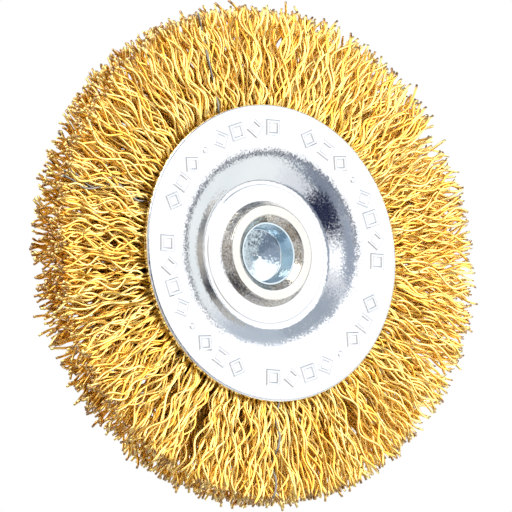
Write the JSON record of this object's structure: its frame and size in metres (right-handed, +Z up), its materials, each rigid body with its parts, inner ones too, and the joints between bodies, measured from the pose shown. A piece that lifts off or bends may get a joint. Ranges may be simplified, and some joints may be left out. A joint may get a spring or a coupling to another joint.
{
  "type": "wire wheel brush",
  "caption": "Crimped-wire wheel brush on a plain round shank, with two dished side plates and a swaged hub ring, for cleaning and deburring metal in a drill or a spindle chuck.",
  "frame": {"origin": "on the shank's axis, where the free shank leaves the rear face of its collar", "axes": "+Y along the shank, away from the wheel; the front plate faces -Y; +Z is up"},
  "size_m": [0.075, 0.042, 0.075],
  "materials": {
    "zinc_plate": "bright zinc plating on pressed steel",
    "nickel_ring": "warm nickel plating on steel",
    "zinc_shank": "blue-bright zinc plating on turned steel",
    "plain_steel": "plain drawn steel",
    "brass_wire": "brass-coated crimped steel wire"
  },
  "bodies": {
    "root": {"front_plate": "zinc_plate", "rear_plate": "zinc_plate", "hub_ring": "nickel_ring", "spacer_sleeve": "plain_steel", "rear_washer": "zinc_plate", "shank": "zinc_shank", "core_ring": "plain_steel", "wire_bundle_01": "brass_wire", "wire_bundle_02": "brass_wire", "wire_bundle_03": "brass_wire", "wire_bundle_04": "brass_wire", "wire_bundle_05": "brass_wire", "wire_bundle_06": "brass_wire", "wire_bundle_07": "brass_wire", "wire_bundle_08": "brass_wire", "wire_bundle_09": "brass_wire", "wire_bundle_10": "brass_wire", "wire_bundle_11": "brass_wire", "wire_bundle_12": "brass_wire", "wire_bundle_13": "brass_wire", "wire_bundle_14": "brass_wire", "wire_bundle_15": "brass_wire", "wire_bundle_16": "brass_wire", "wire_bundle_17": "brass_wire", "wire_bundle_18": "brass_wire", "wire_bundle_19": "brass_wire", "wire_bundle_20": "brass_wire", "wire_bundle_21": "brass_wire", "wire_bundle_22": "brass_wire", "wire_bundle_23": "brass_wire", "wire_bundle_24": "brass_wire"}
  },
  "joints": []
}
